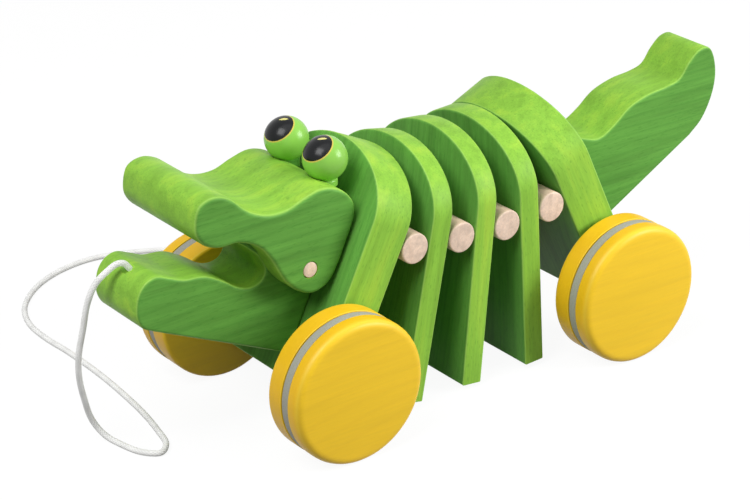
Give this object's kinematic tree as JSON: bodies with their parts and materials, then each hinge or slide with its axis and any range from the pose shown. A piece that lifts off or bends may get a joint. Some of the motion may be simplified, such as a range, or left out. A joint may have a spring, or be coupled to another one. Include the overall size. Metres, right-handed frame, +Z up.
{
  "type": "pull_along_toy",
  "caption": "Wooden pull-along crocodile with a hinged upper jaw, ribs strung on elastic between dowel spacers, yellow wheels with grey rubber rings and a white pull cord.",
  "frame": {"origin": "on the floor, under the middle of the toy without its pull cord", "axes": "+X points to the snout, +Y to the toy's left side, +Z up; the wheels stand on z = 0"},
  "size_m": [0.3089, 0.2273, 0.1181],
  "materials": {
    "green_wood": "green stained beech, satin, grain showing",
    "eye_paint": "green painted wooden ball with a glossy black pupil",
    "plain_beech": "natural beech, smooth, uncoated",
    "yellow_wood": "yellow stained beech, satin",
    "rubber_ring": "matt light grey rubber ring",
    "steel_axle": "drawn steel pin",
    "nylon_washer": "translucent nylon washer",
    "elastic_cord": "round elastic with a woven cover",
    "white_cord": "white braided cord"
  },
  "bodies": {
    "front_body": {"front_block": "green_wood", "lower_jaw": "green_wood", "jaw_glue_dowel_1": "plain_beech", "jaw_glue_dowel_2": "plain_beech", "spacer_dowel_1": "plain_beech", "spine_elastic_1": "elastic_cord", "spine_knot_front": "elastic_cord", "pull_cord": "white_cord", "cord_end_knot": "white_cord", "cord_stop_knot": "white_cord"},
    "head": {"head": "green_wood", "left_eye": "eye_paint", "right_eye": "eye_paint", "jaw_pin": "plain_beech"},
    "front_wheelset": {"front_axle": "steel_axle", "front_left_wheel": "yellow_wood", "front_left_tread": "rubber_ring", "front_left_washer": "nylon_washer", "front_right_wheel": "yellow_wood", "front_right_tread": "rubber_ring", "front_right_washer": "nylon_washer"},
    "rib_1": {"rib_1": "green_wood", "spacer_dowel_2": "plain_beech", "spine_elastic_2": "elastic_cord"},
    "rib_2": {"rib_2": "green_wood", "spacer_dowel_3": "plain_beech", "spine_elastic_3": "elastic_cord"},
    "rib_3": {"rib_3": "green_wood", "spacer_dowel_4": "plain_beech", "spine_elastic_4": "elastic_cord"},
    "rear_body": {"rear_block": "green_wood", "tail": "green_wood", "tail_glue_dowel_1": "plain_beech", "tail_glue_dowel_2": "plain_beech", "spine_elastic_5": "elastic_cord", "spine_knot_rear": "elastic_cord"},
    "rear_wheelset": {"rear_axle": "steel_axle", "rear_left_wheel": "yellow_wood", "rear_left_tread": "rubber_ring", "rear_left_washer": "nylon_washer", "rear_right_wheel": "yellow_wood", "rear_right_tread": "rubber_ring", "rear_right_washer": "nylon_washer"}
  },
  "joints": [
    {"name": "jaw_hinge", "type": "hinge", "parent": "front_body", "child": "head", "pos_m": [0.07665, 0, 0.0712], "axis": [0, 1, 0], "range_deg": [0, 10]},
    {"name": "front_wheel_spin", "type": "hinge", "parent": "front_body", "child": "front_wheelset", "pos_m": [0.07565, 0, 0.03], "axis": [0, 1, 0], "continuous": true},
    {"name": "back_fold_1", "type": "hinge", "parent": "front_body", "child": "rib_1", "pos_m": [0.03252, 0, 0.07095], "axis": [0, 1, 0], "range_deg": [-4, 4], "stiffness_Nm_per_rad": 3},
    {"name": "back_fold_2", "type": "hinge", "parent": "rib_1", "child": "rib_2", "pos_m": [0.0091, 0, 0.06935], "axis": [0, 1, 0], "range_deg": [-4, 4], "stiffness_Nm_per_rad": 3},
    {"name": "back_fold_3", "type": "hinge", "parent": "rib_2", "child": "rib_3", "pos_m": [-0.01421, 0, 0.06835], "axis": [0, 1, 0], "range_deg": [-4, 4], "stiffness_Nm_per_rad": 3},
    {"name": "back_fold_4", "type": "hinge", "parent": "rib_3", "child": "rear_body", "pos_m": [-0.03744, 0, 0.07025], "axis": [0, 1, 0], "range_deg": [-6, 0], "stiffness_Nm_per_rad": 3},
    {"name": "rear_wheel_spin", "type": "hinge", "parent": "rear_body", "child": "rear_wheelset", "pos_m": [-0.06751, 0, 0.03], "axis": [0, 1, 0], "continuous": true}
  ]
}
